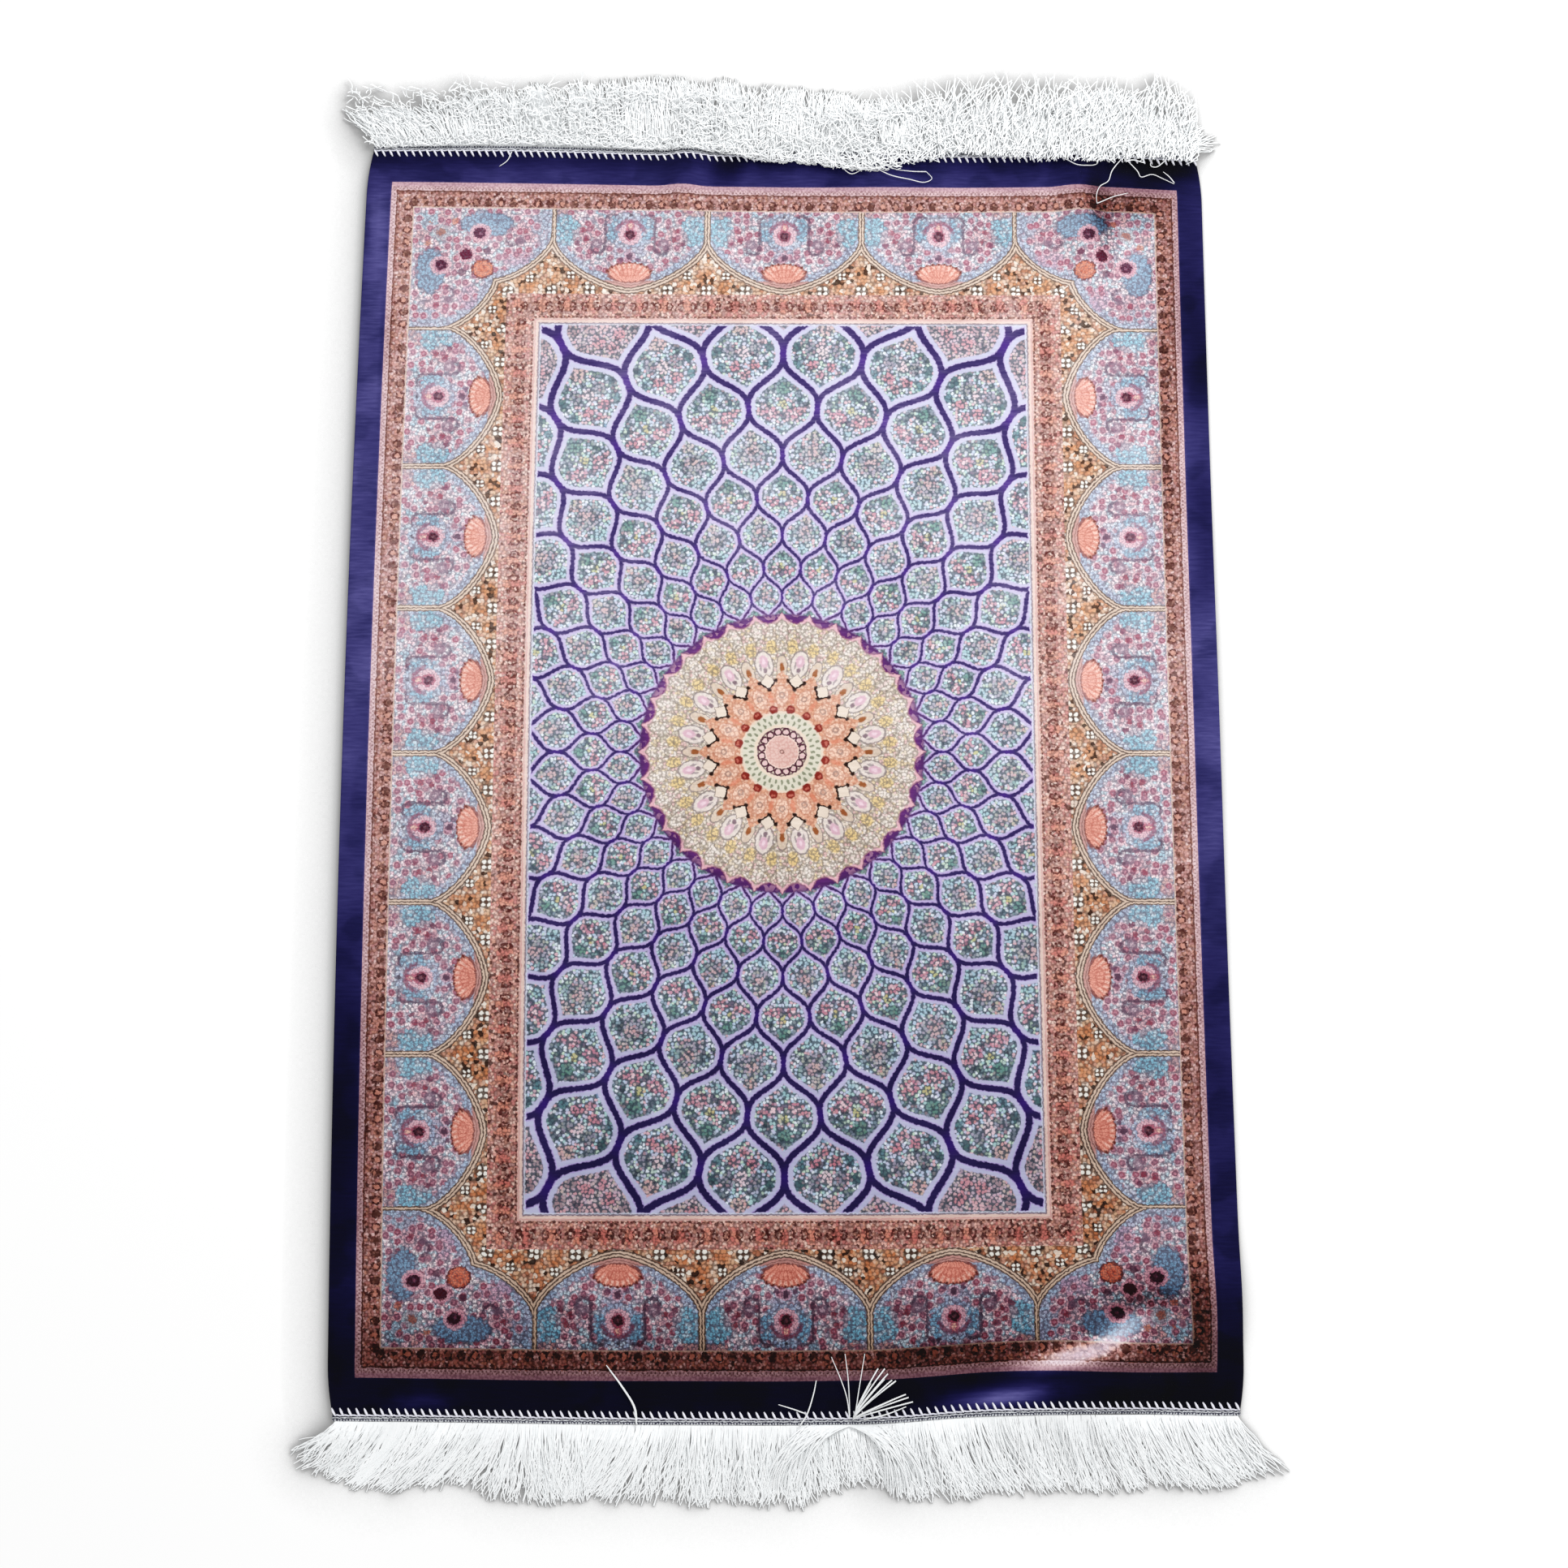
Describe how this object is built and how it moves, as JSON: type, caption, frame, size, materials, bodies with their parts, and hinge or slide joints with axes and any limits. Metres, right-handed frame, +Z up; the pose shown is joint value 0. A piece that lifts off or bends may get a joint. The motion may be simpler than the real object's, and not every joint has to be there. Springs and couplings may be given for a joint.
{
  "type": "small qom rug",
  "caption": "Small flat pile rug with a dome lattice field, a round centre medallion, a cartouche border and a cut fringe at each end.",
  "frame": {"origin": "middle of the rug's footprint, fringes included, on the floor it lies on", "axes": "+X to the right across the rug, +Y along its length towards the far end, +Z up"},
  "size_m": [0.6512, 1.001, 0.0148],
  "materials": {
    "pile": "short dense printed pile with a silky sheen",
    "heading_tape": "matt woven tape with dark stitch lines",
    "fringe_yarn": "bright white bulked yarn"
  },
  "bodies": {
    "root": {"pile_cloth": "pile", "near_heading_tape": "heading_tape", "far_heading_tape": "heading_tape", "near_fringe": "fringe_yarn", "far_fringe": "fringe_yarn"}
  },
  "joints": []
}
